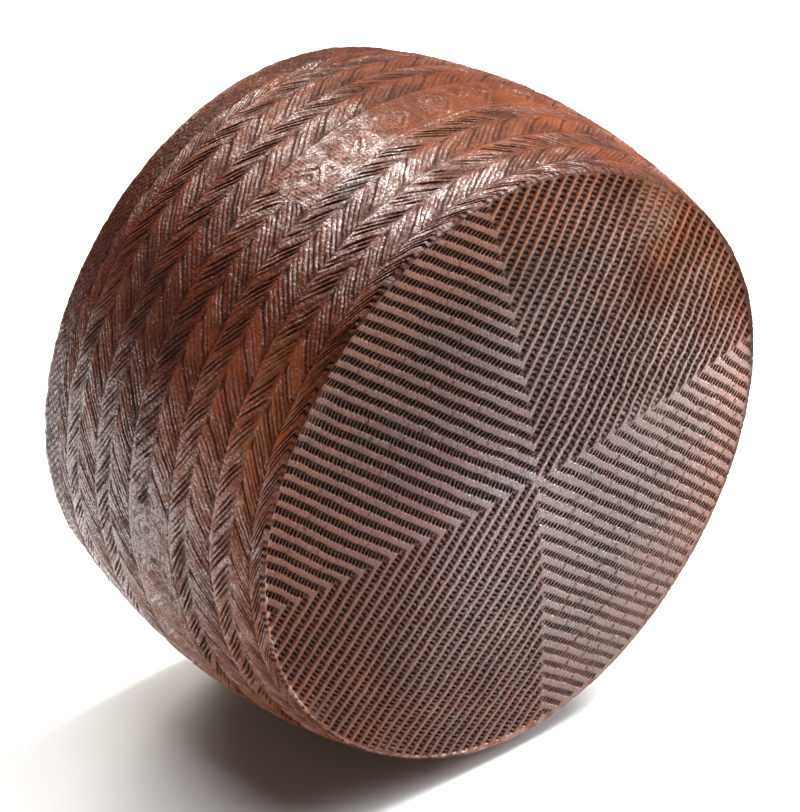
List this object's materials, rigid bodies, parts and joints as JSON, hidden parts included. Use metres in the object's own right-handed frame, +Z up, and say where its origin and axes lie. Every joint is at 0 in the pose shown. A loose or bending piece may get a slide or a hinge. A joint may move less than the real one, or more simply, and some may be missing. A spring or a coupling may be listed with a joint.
{
  "type": "manchego cheese wheel",
  "caption": "Whole round of aged manchego cheese standing on its rim, with a plaited print round the wall and ridged chevron prints on both flat faces.",
  "frame": {"origin": "on the floor, under the middle of the wheel's outer box, where the rim rests", "axes": "+Z up, +Y along the wheel's axis from the shown face to the back face, +X across the shown face"},
  "size_m": [0.1995, 0.105, 0.1989],
  "materials": {
    "rind": "satin, waxed"
  },
  "bodies": {
    "root": {"cheese_wheel": "rind"}
  },
  "joints": []
}
